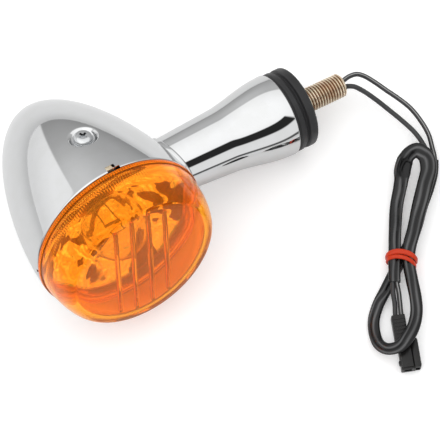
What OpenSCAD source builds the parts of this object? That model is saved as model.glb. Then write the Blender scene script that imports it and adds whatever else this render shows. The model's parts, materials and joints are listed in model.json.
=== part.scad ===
// Motorcycle turn signal: chrome bullet lamp on a flared stalk with a hollow threaded stud.
//
// Frame: +Z up from the surface the lamp lies on, +X along the stalk's level direction
// towards the stud, lens facing -Y and a little upwards. The origin is on that surface,
// under the middle of the lamp without its wires.
// The lamp's own pieces are drawn in the lamp frame (+X stalk axis, +Y nose, lens towards
// -Y, origin in the middle of the lens rim) and laid down by lying().

/* [Housing] */
// Diameter of the bullet housing at its lens rim
rim_d = 72; // [66:0.5:78]
// Length of the bullet from the lens rim to its nose
bullet_l = 72; // [68:0.5:80]
// Wall of the bullet housing
wall = 1.8; // [1.4:0.1:2.2]

/* [Stalk] */
// Distance of the stalk's axis behind the lens rim
stalk_y = 18; // [17.5:0.5:19]
// Distance from the bullet's axis to the chrome end of the stalk
stalk_end = 84.7; // [82:0.1:90]
// Radius of the stalk's slim end, at the bullet
stalk_r = 11.9; // [11.5:0.1:12.5]
// How much the flare adds to the radius at the far end
flare_r = 2.1; // [1.5:0.1:2.6]

/* [Mounting] */
// Outer diameter of the threaded stud
stud_d = 10; // [10:1:10]
// Bore of the stud, for the wires
stud_bore_d = 6; // [5.6:0.2:6.2]
// Length of stud past the rubber base
stud_out = 21.2; // [18:0.2:30]
// Thickness of each of the two rubber rings
ring_t = 4.5; // [3.5:0.1:5]
// Radius of the rubber rings
ring_r = 16.8; // [16:0.1:17]

/* [Lens] */
// Height of the lens in front of the rim
lens_h = 19.5; // [17:0.5:22]
// Radius of the lens's front face
lens_face_r = 29.6; // [28:0.1:31]
// Wall of the lens
lens_wall = 2; // [1.6:0.1:2.4]
// Spacing of the four ribs across the face
rib_gap = 7.2; // [6:0.1:8]

/* [Wiring] */
// Outer diameter of each wire
wire_d = 2; // [1.8:0.1:2.2]
// Outer diameter of the sleeve
sleeve_d = 4.8; // [4.4:0.1:5]

/* [Resting pose] */
// Dip of the stalk below level
dip = 10.6; // [9:0.1:12]
// Roll of the lens up from level
roll = 20; // [18:0.5:22]

/* [Hidden] */
$fn = 96;

eps = 0.01;
run_fit = 0.05;
rim_r = rim_d / 2;
stud_r = stud_d / 2;
bore_r = stud_bore_d / 2;
base_end = stalk_end + 2 * ring_t + 0.1;
stud_end = base_end + stud_out;
web_t = 5;
stud_flange_r = 8.5;
stud_flange_t = 3;
shank_step = 0.3;
neck_r = 5.6;
neck_end = 25;
nut_t = 3.5;
nut_flats = 13;
thread_gap = 0.05;
pad_x = neck_end + nut_t;
collar_h = 2.2;
collar_r = stalk_r + 0.8;

// Housing screw, on the bullet's upper side
screw_y = 24;
screw_r = 1.95;
screw_seat_z = 30.2;
washer_t = 0.5;
head_r = 3.75;
head_h = 2.2;
dimple_r = 5;
tab_z = 27.4;
tab_t = 1.2;
clip_t = 2.4;
screw_tip_z = 22.6;

// Reflector, socket and bulb, all on the bullet's axis
bowl_depth = 16;
bowl_r = 31;
bowl_hole_r = 9.4;
bowl_wall = 1;
bowl_lip_y = 4.2;
socket_front = 18.2;
socket_r = 8.9;
socket_bore_r = 7.9;
socket_back = 46;
socket_flange_r = 13;
pin_y = 28;
pin_r = 1;
pin_reach = 8.6;
push_travel = 2.2;
turn_travel = 20;
slot_side = 0.5;
base_r = 7.55;
bulb_front_y = 2;
bulb_r = 12.5;
glass_t = 0.6;
contact_y = 35;
disc_t = 1.2;
insulator_y = 42.5;

// Lens flange and skirt
lens_gap = 0.35;
flange_h = 2;
skirt_r = 33.4;
skirt_t = 1.6;
skirt_l = 3.2;
rib_w = 1.3;
rib_h = 1.1;

// Wires in the stud
wire_r = wire_d / 2;
wire_off = 1.7;
lead_join = 108;
wire_gap = 0.05;

// Free wires, sleeve and tails: points on their centre lines, in the lying frame
striped_route = [[78.5, -1.5, 11.5], [81.5, -2, 11], [84, -4, 10], [86.5, -8, 9],
    [89, -13, 8], [92, -19, 7], [94, -24, 6], [95, -30, 5], [95, -36.5, 4],
    [93.5, -42, 3.5], [92, -46.5, 3]];
black_route = [[77.5, -6, 11.5], [80, -9, 10.5], [83, -14.5, 9], [86, -21, 7],
    [88.5, -27, 5.5], [90.5, -33.5, 4.5], [91, -40, 3.5], [90, -45.5, 3]];
sleeve_route = [[91, -46.5, 2.5], [88, -51, 2.5], [83.5, -55.5, 2.5], [76.5, -61.5, 2.5],
    [71, -67, 2.5], [65, -72, 2.5], [58.5, -76, 2.5], [52.5, -80, 2.5], [46.5, -84, 2.5],
    [40.5, -88, 2.5], [36, -92.5, 2.5], [33.5, -97.5, 2.8], [32.5, -102.3, 4.6],
    [34, -106.3, 7.5], [38.2, -108, 9.2], [43, -106.5, 9.2], [47.5, -103.5, 8.5],
    [51.5, -99, 7.5], [54.5, -93.5, 6.5], [57, -86.5, 6.5], [59.5, -80, 7],
    [63, -74.5, 7.5], [68.5, -69, 7.5], [75.5, -61.5, 7.5], [81.5, -55.5, 8],
    [86.5, -50, 8.5], [88, -45, 9], [86, -41.5, 9.5], [82, -41.5, 9], [78.5, -44, 7.5],
    [74.5, -49, 5.5], [68, -56.5, 4], [62.5, -64.5, 5], [58, -71.5, 6.5],
    [54.5, -77, 7], [50.5, -84, 7]];
tail_black_route = [[49.2, -84.3, 6.9], [48, -87, 6], [46.5, -91, 4.5], [44.3, -95.2, 3]];
tail_striped_route = [[51.1, -85.3, 6.9], [50, -88, 6], [48.3, -92, 4.5], [46.5, -96, 3]];
sleeve_sides = 10;
wire_sides = 8;

// Rubber band and connector on the surface beside the lamp
band_pos = [58.6, -76, 5.15];
band_turn = 145;
band_w = 9.4;
band_h = 10.2;
band_t = 1.4;
band_l = 4.4;
plug_pos = [45.4, -95.6, 0];
plug_turn = -111.3;
plug_l = 22.7;
grip_l = 10.5;
grip_side = [-3, 2.5];
grip_h = 5;
plug_side = [-2.4, 5.6];
step_side = 2.7;
plug_low = 4.6;
plug_high = 6.2;
blade_w = 0.9;
latch_x = 14.6;
latch_l = 7.3;
latch_side = [-2, 2.3];
latch_gap = 0.4;
latch_t = 0.8;

// Radius of the bullet at a fraction t of its length
function bullet_r(t, r) = r * pow(max(0, 1 - pow(t, 1.55)), 0.51);
// Radius of the stalk's outside at a distance x from the bullet's axis
function smooth(t) = let (u = min(1, max(0, t))) u * u * (3 - 2 * u);
function stalk_out(x) = stalk_r + 0.065 * (x - 34) + flare_r * smooth((x - 58) / 22);
// Direction and place of a lamp-frame point once the lamp lies down
function turned(v) =
    let (y = v[1] * cos(roll) + v[2] * sin(roll), z = v[2] * cos(roll) - v[1] * sin(roll))
    [v[0] * cos(dip) + z * sin(dip), y, z * cos(dip) - v[0] * sin(dip)];
// Lens outside as radius and height in front of the rim
side_r = rim_r - 0.6;
lens_outside = concat([[rim_r, lens_gap], [rim_r, flange_h], [side_r, flange_h]],
    [for (a = [0:15:90]) [lens_face_r - 1 + (side_r - lens_face_r + 1) * pow(cos(a), 0.8),
        flange_h + (lens_h - flange_h) * pow(sin(a), 1.15)]],
    [[20, lens_h + 0.5], [10, lens_h + 0.8], [0, lens_h + 0.9]]);

// Outline of the lamp as discs: centre, axis and radius
outline = concat(
    [for (i = [0:400]) [[0, bullet_l * i / 400, 0], [0, 1, 0], bullet_r(i / 400, rim_r)]],
    [for (p = lens_outside) [[0, -p[1], 0], [0, 1, 0], p[0]]],
    [[[stud_end, stalk_y, 0], [1, 0, 0], stud_r - 0.8],
     [[stud_end - 0.8, stalk_y, 0], [1, 0, 0], stud_r],
     [[base_end - 1, stalk_y, 0], [1, 0, 0], ring_r],
     [[base_end, stalk_y, 0], [1, 0, 0], ring_r - 1],
     [[stalk_end, stalk_y, 0], [1, 0, 0], stalk_out(stalk_end)]]);
// How far the outline reaches along a direction of the lying frame
function reach(dir) = max([for (d = outline)
    turned(d[0]) * dir + d[2] * sqrt(max(0, 1 - pow(turned(d[1]) * dir, 2)))]);
lift = [(reach([-1, 0, 0]) - reach([1, 0, 0])) / 2,
    (reach([0, -1, 0]) - reach([0, 1, 0])) / 2, reach([0, 0, -1])];
function laid(p) = turned(p) + lift;

module lying() translate(lift) rotate([0, dip, 0]) rotate([-roll, 0, 0]) children();

// Shapes about the bullet's axis (+Y) and about the stalk's axis (+X)
module about_y() rotate([-90, 0, 0]) children();
module about_x(y = stalk_y) translate([0, y, 0]) rotate([0, 90, 0]) children();
module y_tube(y0, y1, r) translate([0, y0, 0]) about_y() cylinder(r = r, h = y1 - y0);
module x_tube(x0, x1, r) translate([x0, 0, 0]) about_x() cylinder(r = r, h = x1 - x0);
module hex_rod(flats, h) cylinder(r = flats / 2 / cos(30), h = h, $fn = 6);

// The bullet's solid, grown by a margin on every side
module bullet(grow = 0, front = 0) {
    r = rim_r + grow;
    l = bullet_l + grow;
    about_y() rotate_extrude() polygon(concat([[0, front], [r, front]],
        [for (i = [1:47]) let (t = 1 - pow(1 - i / 48, 1.7)) [bullet_r(t, r), l * t]],
        [[0, l]]));
}

module housing_shell() color("silver") lying() difference() {
    union() {
        difference() {
            bullet();
            bullet(-wall, -1);
        }
        // flat pad inside for the stalk's nut
        intersection() {
            x_tube(pad_x, rim_r, 10);
            bullet(-wall / 2);
        }
        // boss inside under the screw
        intersection() {
            translate([0, screw_y, tab_z]) cylinder(r = 6, h = 8);
            bullet(-wall / 2);
        }
    }
    // the stalk's neck
    x_tube(neck_end, 50, neck_r + thread_gap);
    // sunk seat and hole of the screw
    translate([0, screw_y, screw_seat_z]) cylinder(r1 = dimple_r - 0.6, r2 = dimple_r + 0.6, h = 4);
    translate([0, screw_y, tab_z - 1]) cylinder(r = 2.4, h = 8);
    // slot for prying off the lens: a long bar with a short stem, and the clip's seat
    translate([-2.7, -1, rim_r - 3]) cube([5.4, 2.2, 4]);
    translate([-2.7, -1, rim_r - 1.6]) cube([3.9, 3.9, 3]);
    // two small drain notches in the rim
    for (a = [-92, 71]) rotate([0, a, 0]) translate([-0.6, -1, rim_r - 1]) cube([1.2, 1.9, 2]);
}

module stalk_collar() color("silver") lying() difference() {
    intersection() {
        x_tube(20, 50, collar_r);
        bullet(collar_h);
    }
    bullet(eps);
    x_tube(20, 50, neck_r + thread_gap);
}

module stalk() color("silver") lying() difference() {
    union() {
        difference() {
            about_x() rotate_extrude() polygon(concat([[0, 26]],
                [for (x = [26:2:84]) [stalk_out(x), x]],
                [[stalk_out(84), stalk_end - 0.4], [stalk_out(84) - 0.4, stalk_end],
                 [0, stalk_end]]));
            bullet(collar_h + eps);
        }
        x_tube(neck_end - 1, 50, neck_r);
    }
    x_tube(0, 46, 4.4);
    about_x() rotate_extrude() polygon([[0, 42], [8.8, 48], [9.6, 60],
        [12.4, stalk_end - web_t], [0, stalk_end - web_t]]);
    x_tube(60, 100, stud_r - shank_step + run_fit);
}

module stalk_nut() color("gray") lying() difference() {
    translate([neck_end, 0, 0]) about_x() rotate(30) hex_rod(nut_flats, nut_t - eps);
    x_tube(neck_end - 1, pad_x + 1, neck_r + thread_gap);
}

module mounting_stud() color("goldenrod") lying() difference() {
    union() {
        x_tube(stalk_end - web_t - stud_flange_t, base_end + 1, stud_r - shank_step);
        x_tube(base_end + 0.3, stud_end - 0.8, stud_r);
        translate([stud_end - 0.8, 0, 0]) about_x()
            cylinder(r1 = stud_r, r2 = stud_r - 0.8, h = 0.8);
        x_tube(stalk_end - web_t - stud_flange_t, stalk_end - web_t, stud_flange_r);
    }
    x_tube(50, stud_end + 1, bore_r);
}

// One rubber ring with rounded outer edges
module rubber_ring(x, edge_a, edge_b) about_x() difference() {
    translate([0, 0, x]) rotate_extrude() polygon(concat([[0, 0]],
        [for (a = [0:15:90]) [ring_r - edge_a * (1 - sin(a)), edge_a * (1 - cos(a))]],
        [for (a = [0:15:90]) [ring_r - edge_b * (1 - cos(a)), ring_t - edge_b * (1 - sin(a))]],
        [[0, ring_t]]));
    translate([0, 0, x - 1]) cylinder(r = stud_r - shank_step, h = ring_t + 2);
}
module base_gasket() color("black") lying() rubber_ring(stalk_end, 0.5, 1.4);
module base_boot() color("black") lying() rubber_ring(stalk_end + ring_t + 0.1, 1.4, 1);

module lens_clip() color("tan") lying()
    translate([-2.6, 1.25, rim_r - 1.6]) cube([2.8, 1.6, 1.1]);

module lens_seal() color("black") lying() difference() {
    y_tube(-lens_gap + 0.05, 2.2, rim_r - wall - 0.3);
    y_tube(-2, 4, skirt_r + 0.1);
}

function bowl_y(r) = bowl_lip_y + bowl_depth * (1 - r * r / bowl_r / bowl_r) - 1;
module reflector() color("gainsboro") lying() about_y() rotate_extrude() polygon(concat(
    [for (r = [bowl_hole_r:2.4:bowl_r]) [r, bowl_y(r)]],
    [[bowl_r, bowl_lip_y - 1], [33.3, bowl_lip_y - 1], [33.3, bowl_lip_y],
     [bowl_r + 0.6, bowl_lip_y]],
    [for (r = [bowl_r:-2.4:socket_flange_r]) [r + 0.4, bowl_y(r) + bowl_wall + 0.2]],
    [[socket_flange_r, socket_front], [bowl_hole_r, socket_front]]));

module reflector_bracket() color("gray") lying() difference() {
    union() {
        translate([-5, socket_front + 1.5, socket_r + 0.3]) cube([10, tab_t, tab_z - socket_r - 0.3]);
        translate([-5, socket_front + 1.5, tab_z - tab_t]) cube([10, 10, tab_t]);
        translate([-5, socket_front, socket_flange_r]) cube([10, 1.5 + tab_t, 2]);
    }
    translate([0, screw_y, tab_z - 5]) cylinder(r = 2.3, h = 10);
}

module clip_nut() color("dimgray") lying() difference() {
    translate([-3.5, screw_y - 3, tab_z - tab_t - clip_t]) cube([7, 6, clip_t - eps]);
    translate([0, screw_y, tab_z - 10]) cylinder(r = screw_r + run_fit, h = 12);
}

// One bayonet slot: straight in from the mouth, then a turn
module bayonet_slot(side) rotate([0, side, 0]) {
    translate([-pin_r - slot_side, socket_front - 1, 0])
        cube([2 * (pin_r + slot_side), pin_y + push_travel + pin_r + slot_side - socket_front + 1, 12]);
    intersection() {
        difference() {
            y_tube(pin_y - pin_r - slot_side, pin_y + push_travel + pin_r + slot_side, 10);
            y_tube(0, 60, socket_bore_r - 0.5);
        }
        rotate([0, turn_travel / 2, 0]) translate([-4, 0, 0]) cube([8, 60, 12]);
    }
}
module socket_shell() color("khaki") lying() difference() {
    union() {
        y_tube(socket_front, socket_back, socket_r);
        y_tube(socket_front, socket_front + 1.5, socket_flange_r);
    }
    y_tube(socket_front - 1, insulator_y, socket_bore_r);
    y_tube(socket_front, socket_back + 1, socket_bore_r - 1);
    for (side = [0, 180]) bayonet_slot(side);
}

module socket_insulator() color("saddlebrown") lying() difference() {
    union() {
        y_tube(insulator_y - 1, insulator_y - eps, socket_bore_r - 0.1);
        y_tube(insulator_y - 0.5, socket_back, socket_bore_r - 1 - eps);
    }
    translate([0, 40, -wire_off]) about_y() cylinder(r = wire_r + wire_gap, h = 10);
}

// A round tube swept along a list of points
function unit(v) = v / norm(v);
function heading(p, i) = unit(p[min(i + 1, len(p) - 1)] - p[max(i - 1, 0)]);
function ring(p, i, r, n) =
    let (t = heading(p, i), s = unit(cross([0, 0, 1], t)), u = cross(t, s))
    [for (k = [0:n - 1]) p[i] + r * (cos(360 * k / n) * s + sin(360 * k / n) * u)];
module tube(p, r, n) polyhedron(
    points = [for (i = [0:len(p) - 1]) each ring(p, i, r, n)],
    faces = concat([[for (k = [0:n - 1]) k]],
        [for (i = [0:len(p) - 2], k = [0:n - 1]) let (a = i * n + k, b = i * n + (k + 1) % n)
            each [[a, a + n, b + n], [a, b + n, b]]],
        [[for (k = [n - 1:-1:0]) (len(p) - 1) * n + k]]));

spring_turns = 4;
spring_r = 4.6;
spring_wire_r = 0.45;
spring_room = insulator_y - 1 - contact_y - disc_t - 2 * spring_wire_r - 0.04;
module contact_spring() color("silver") lying()
    translate([0, contact_y + disc_t + spring_wire_r + 0.02, 0]) about_y() coil();
module coil() {
    steps = spring_turns * 14;
    n = 6;
    p = [for (i = [0:steps]) [spring_r * cos(i * 360 / 14), spring_r * sin(i * 360 / 14),
        spring_room * smooth(i / steps)]];
    tube(p, spring_wire_r, n);
}

module contact_disc() color("goldenrod") lying() union() {
    y_tube(contact_y, contact_y + disc_t, 6.6);
}

module ground_terminal() color("silver") lying() difference() {
    translate([-2.5, 40, -socket_r - 0.8]) cube([5, 8.5, 0.8]);
    translate([0, 46.5, -socket_r - 2]) cylinder(r = 1.05, h = 3);
}

// Inner leads, from the socket through the stalk's neck to the stud
lead_black_route = [[0, 46.7, -10.9], [3, 47.4, -10.9], [9, 45.5, -10], [14, 38, -7],
    [17.5, 29, -4.5], [20, 22.5, -2.8], [23, 18.8, -1.9], [27.5, stalk_y, -wire_off],
    [lead_join, stalk_y, -wire_off]];
lead_striped_route = [[-3, 50, -wire_off], [2, 51.5, -1], [8, 49, 0.5], [13, 42.5, 1.7],
    [16, 35, 2.2], [18, 28, 2.2], [20.5, 21.5, 2], [23.5, 18.5, 1.8], [27.5, stalk_y, wire_off],
    [lead_join, stalk_y, wire_off]];
module lead_black() color("black") lying() tube(lead_black_route, wire_r, wire_sides);
module lead_striped() color("dimgray") lying() tube(lead_striped_route, wire_r, wire_sides);

module bulb_glass() color("gold") lying() about_y() rotate_extrude() polygon(concat(
    [for (a = [90:-10:-50]) bulb_r * [cos(a), -sin(a)] + [0, bulb_front_y]],
    [[6.6, 15.5], [6.6, 18], [6, 18], [6, 15.2]],
    [for (a = [-50:10:90]) (bulb_r - glass_t) * [cos(a), -sin(a)] + [0, bulb_front_y]]));

module bulb_base() color("khaki") lying() difference() {
    union() {
        y_tube(16.6, 33, base_r);
        translate([0, 33, 0]) about_y() cylinder(r1 = base_r, r2 = 3.4, h = 1.2);
        y_tube(33, contact_y - 0.02, 2.4);
    }
    y_tube(16, 18.02, 6.62);
    y_tube(17, 30, 5.8);
    translate([0, pin_y, -12]) cylinder(r = pin_r, h = 24);
}

module bulb_pins() color("khaki") lying() for (side = [0, 180])
    rotate([0, side, 0]) translate([0, pin_y, 5]) cylinder(r = pin_r, h = pin_reach - 5);

module bulb_filament() color("gray") lying() union() {
    for (x = [-3, 3]) translate([x - 0.3, 3, -0.3]) cube([0.6, 20, 0.6]);
    translate([-3.6, 3, 0]) rotate([0, 90, 0]) cylinder(r = 0.6, h = 7.2);
    translate([0, 21, 0]) about_y() cylinder(r = 5.75, h = 4);
}

module lens() color("orange") lying() {
    inside = [for (p = lens_outside) if (p[1] > flange_h)
        [max(0, p[0] - lens_wall), p[1] - lens_wall * smooth(p[1] / lens_h * 2 - 0.6)]];
    difference() {
        about_y() rotate_extrude() polygon(concat(
            [for (p = lens_outside) [p[0], -p[1]]],
            [for (i = [len(inside) - 1:-1:0]) [inside[i][0], -inside[i][1]]],
            [[skirt_r - skirt_t, -flange_h], [skirt_r - skirt_t, skirt_l - 0.2],
             [skirt_r, skirt_l - 0.2], [skirt_r, -lens_gap]]));
    }
    // four ribs behind the face, clear of its edge
    half = sqrt(pow(lens_face_r - lens_wall - 2.5, 2) - pow(1.5 * rib_gap + rib_w, 2));
    for (k = [-1.5:1:1.5]) translate([k * rib_gap - rib_w / 2, -lens_h + lens_wall - rib_h, -half])
        cube([rib_w, rib_h + 0.6, 2 * half]);
}

module screw_washer() color("silver") lying() translate([0, screw_y, screw_seat_z])
    difference() {
        cylinder(r = 4.1, h = washer_t);
        translate([0, 0, -1]) cylinder(r = screw_r + run_fit, h = 3);
    }

module housing_screw() color("silver") lying() translate([0, screw_y, 0]) difference() {
    head_z = screw_seat_z + washer_t + 0.01;
    union() {
        translate([0, 0, screw_tip_z]) cylinder(r = screw_r, h = head_z - screw_tip_z + 0.5);
        translate([0, 0, head_z]) rotate_extrude() polygon(concat([[0, 0], [head_r, 0]],
            [for (a = [0:15:90]) [1.6 + (head_r - 1.6) * cos(a), 0.7 + (head_h - 0.7) * sin(a)]],
            [[0, head_h]]));
    }
    for (a = [45, 135]) translate([0, 0, head_z + head_h]) rotate([0, 0, a])
        cube([4.2, 0.9, 2.8], center = true);
}

// Free wires: each starts inside the stud's bore, against its inner lead
function in_stud(x, side) = laid([x, stalk_y, side * wire_off]);
module wire_black() color("black")
    tube(concat([in_stud(lead_join, -1), in_stud(stud_end, -1)], black_route), wire_r, wire_sides);
module wire_striped() color("dimgray")
    tube(concat([in_stud(lead_join, 1), in_stud(stud_end, 1)], striped_route), wire_r, wire_sides);
module sleeve() color("black") tube(sleeve_route, sleeve_d / 2, sleeve_sides);
module tail_black() color("black") tube(tail_black_route, wire_r, wire_sides);
module tail_striped() color("dimgray") tube(tail_striped_route, wire_r, wire_sides);

module rounded_slot(w, h) {
    square([w - h, h], center = true);
    for (s = [-1, 1]) translate([s * (w - h) / 2, 0]) circle(d = h);
}
module rubber_band() color("red") translate(band_pos) rotate([90, 0, band_turn])
    linear_extrude(band_l, center = true) difference() {
        rounded_slot(band_w + 2 * band_t + 0.4, band_h);
        rounded_slot(band_w + 0.4, band_h - 2 * band_t);
    }

// Connector, drawn along +X from its wire end and turned into place
module at_plug() translate(plug_pos) rotate([0, 0, plug_turn]) children();
module span(x, side, z) translate([x[0], side[0], z[0]])
    cube([x[1] - x[0], side[1] - side[0], z[1] - z[0]]);
module connector_housing() color("black") at_plug() difference() {
    union() {
        span([0, grip_l + 0.1], grip_side, [0, grip_h]);
        span([grip_l, plug_l], [plug_side[0], step_side + 0.1], [0, plug_low]);
        span([grip_l, plug_l], [step_side, plug_side[1]], [0, plug_high]);
        for (i = [0:4]) span([1.3 + 1.5 * i, 2 + 1.5 * i], grip_side, [grip_h - 0.1, grip_h + 0.25]);
        span([18.6, 20.4], [plug_side[0] - 0.6, plug_side[0] + 0.2], [1.6, 3.8]);
    }
    // a mouth for both wire ends, a passage for each, then one cavity for each blade
    span([-1, 0.8], [-2.3, 2.2], [1.8, 4.25]);
    span([-1, 12.2], [-2.05, -0.55], [2, 4.1]);
    span([-1, 13.8], [0.2, 1.7], [2, 4.1]);
    span([12.1, 13.8], [0.2, 5.1], [1.8, 4.1]);
    span([10.9, plug_l + 1], [-1.4, 1.7], [1.4, 4.1]);
    span([12.1, plug_l + 1], [3, 5.1], [1.4, 4.6]);
}
// a blade: it runs in at one side, steps across at x, and ends in its cavity
module blade(from, to, x) {
    half = blade_w / 2;
    span([7, x + blade_w], [from - half, from + half], [2.4, 3.6]);
    span([x, x + blade_w], [min(from, to) - half, max(from, to) + half], [2.4, 3.6]);
    span([x, plug_l - 2], [to - half, to + half], [2.4, 3.6]);
}
module connector_terminals() color("goldenrod") at_plug() {
    blade(-1.3, -0.3, 11.1);
    blade(0.95, 4.1, 12.5);
}
module connector_latch() color("black") at_plug() {
    span([latch_x, latch_x + latch_l], latch_side, [plug_low + latch_gap, plug_low + latch_gap + latch_t]);
    translate([latch_x, latch_side[1], plug_low + 0.6]) rotate([90, 0, 0])
        cylinder(r = 0.58, h = latch_side[1] - latch_side[0]);
}

housing_shell();
stalk_collar();
stalk();
stalk_nut();
mounting_stud();
base_gasket();
base_boot();
lens_clip();
lens_seal();
reflector();
reflector_bracket();
clip_nut();
socket_shell();
socket_insulator();
contact_spring();
contact_disc();
ground_terminal();
lead_black();
lead_striped();
bulb_glass();
bulb_base();
bulb_pins();
bulb_filament();
lens();
screw_washer();
housing_screw();
wire_black();
wire_striped();
sleeve();
tail_black();
tail_striped();
rubber_band();
connector_housing();
connector_terminals();
connector_latch();
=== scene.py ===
"""Looks of the motorcycle turn signal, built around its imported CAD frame.

Lamp frame, in millimetres: +X along the stalk towards its stud, +Y towards the bullet's
nose, +Z towards the upper side, origin in the middle of the lens rim. Row frame, in
metres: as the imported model. lamp() takes a point from the first to the second.
"""
import json
import math

import bmesh
import bpy
import numpy as np
from mathutils import Matrix, Vector


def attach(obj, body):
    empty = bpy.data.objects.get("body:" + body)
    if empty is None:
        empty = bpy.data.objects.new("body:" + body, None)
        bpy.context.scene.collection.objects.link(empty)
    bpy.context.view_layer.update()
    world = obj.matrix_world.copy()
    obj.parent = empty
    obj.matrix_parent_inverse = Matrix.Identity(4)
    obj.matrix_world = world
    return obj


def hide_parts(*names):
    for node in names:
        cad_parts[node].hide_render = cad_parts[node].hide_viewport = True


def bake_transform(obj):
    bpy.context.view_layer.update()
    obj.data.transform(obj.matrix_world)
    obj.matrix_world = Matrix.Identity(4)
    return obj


MM = 0.001
TAU = 2 * math.pi

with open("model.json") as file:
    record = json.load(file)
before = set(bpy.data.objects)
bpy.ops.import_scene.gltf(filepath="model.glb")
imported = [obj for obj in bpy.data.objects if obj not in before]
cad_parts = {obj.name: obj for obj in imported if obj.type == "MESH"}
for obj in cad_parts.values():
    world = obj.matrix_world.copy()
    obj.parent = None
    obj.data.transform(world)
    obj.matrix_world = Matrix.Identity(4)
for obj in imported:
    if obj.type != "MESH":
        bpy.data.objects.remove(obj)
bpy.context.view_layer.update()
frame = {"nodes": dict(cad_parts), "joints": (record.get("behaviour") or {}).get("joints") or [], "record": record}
nodes = frame["nodes"]

# ------------------------------------------------------------------ places
mounts = {m["name"]: m for m in frame["record"]["mounts"]}
joints = {j["name"]: j for j in frame["joints"]}
BASE_END = 93.8
STALK_Y = 18.0
BASE_FACE_UP = 10.0
STALK_DIR = Vector(mounts["base_face"]["axis"])
NOSE_DIR = -Vector(joints["lens_pull"]["axis"])
UP_DIR = Vector(joints["screw_out"]["axis"])
LAMP = Matrix((STALK_DIR, NOSE_DIR, UP_DIR)).transposed()
LAMP_AT = Vector(mounts["base_face"]["pos_m"]) - LAMP @ Vector(
    (BASE_END, STALK_Y + BASE_FACE_UP, 0)) * MM


def lamp(p):
    """A lamp-frame point in mm, as a row-frame point in metres."""
    return LAMP @ Vector(p) * MM + LAMP_AT


def row(p):
    """A row-frame point in mm, in metres."""
    return Vector(p) * MM


def about_nose(h, r, a):
    """Cylinder coordinates about the bullet's axis; angle from +Z towards +X."""
    return lamp((r * math.sin(a), h, r * math.cos(a)))


def about_stalk(h, r, a):
    """Cylinder coordinates about the stalk's axis."""
    return lamp((h, STALK_Y + r * math.cos(a), r * math.sin(a)))


def smooth(t):
    """0 up to 0, 1 from 1 on, and a smooth step between."""
    u = min(1.0, max(0.0, t))
    return u * u * (3 - 2 * u)


def bulge(v, power):
    """A sine or cosine pushed outwards, so that a round outline turns boxy."""
    return math.copysign(abs(v) ** power, v)


def rounded(points, steps=5):
    """An open polyline of (a, b) or (a, b, fillet radius) points, with its corners filleted."""
    out = []
    for i, p in enumerate(points):
        if len(p) < 3 or i in (0, len(points) - 1):
            out.append((p[0], p[1]))
            continue
        here = Vector(p[:2])
        back = Vector(points[i - 1][:2]) - here
        ahead = Vector(points[i + 1][:2]) - here
        back.normalize()
        ahead.normalize()
        half = back.angle(ahead) / 2
        reach = p[2] / math.tan(half)
        centre = here + (back + ahead).normalized() * (p[2] / math.sin(half))
        start, end = here + back * reach - centre, here + ahead * reach - centre
        turn = start.angle_signed(end)
        for k in range(steps + 1):
            spun = start.copy()
            spun.rotate(Matrix.Rotation(-turn * k / steps, 2))
            out.append(tuple(centre + spun))
    return out


# ------------------------------------------------------------------ mesh helpers
def make(name, verts, faces, material, sharp=35.0, flat=False, values=None):
    """A mesh object from points in metres, its normals outwards, smooth up to a sharp angle.
    values are numbers per point, kept as attributes that materials read."""
    mesh = bpy.data.meshes.new(name)
    mesh.from_pydata([tuple(v) for v in verts], [], faces)
    for key, numbers in (values or {}).items():
        mesh.attributes.new(key, "FLOAT", "POINT").data.foreach_set("value", numbers)
    bm = bmesh.new()
    bm.from_mesh(mesh)
    bmesh.ops.recalc_face_normals(bm, faces=bm.faces)
    bm.to_mesh(mesh)
    bm.free()
    if flat:
        mesh.shade_flat()
    else:
        mesh.shade_smooth()
        mesh.set_sharp_from_angle(angle=math.radians(sharp))
    obj = bpy.data.objects.new(name, mesh)
    bpy.context.scene.collection.objects.link(obj)
    mesh.materials.append(material)
    return obj


def place(obj, body, slot, *replaced):
    """Puts a piece on a body and hides the CAD nodes that it stands for. slot is not used."""
    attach(obj, body)
    if replaced:
        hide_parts(*replaced)
    return obj


def grid_faces(columns, rows, ring=False):
    """Quads of points stored column by column, closed round; a ring's columns close too."""
    starts = [(i * rows, (i + 1) % columns * rows) for i in range(columns)]
    faces = [(a + j, b + j, b + j + 1, a + j + 1) for a, b in starts for j in range(rows - 1)]
    if ring:
        faces += [(a + rows - 1, b + rows - 1, b, a) for a, b in starts]
    return faces


def lathe(name, profile, where, material, steps, closed=False, **kw):
    """Turns (height, radius) points about an axis. A closed profile makes a ring; an open
    one starts and ends on the axis, where its end radii are 0."""
    ends = [] if closed else [profile[0][0], profile[-1][0]]
    body = profile if closed else profile[1:-1]
    rows = len(body)
    verts = [where(h, r, TAU * i / steps) for i in range(steps) for h, r in body]
    faces = grid_faces(steps, rows, ring=closed)
    for end, j in zip(ends, (0, rows - 1)):
        verts.append(where(end, 0, 0))
        pole = len(verts) - 1
        faces += [(pole, i * rows + j, (i + 1) % steps * rows + j) for i in range(steps)]
    return make(name, verts, faces, material, **kw)


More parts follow.
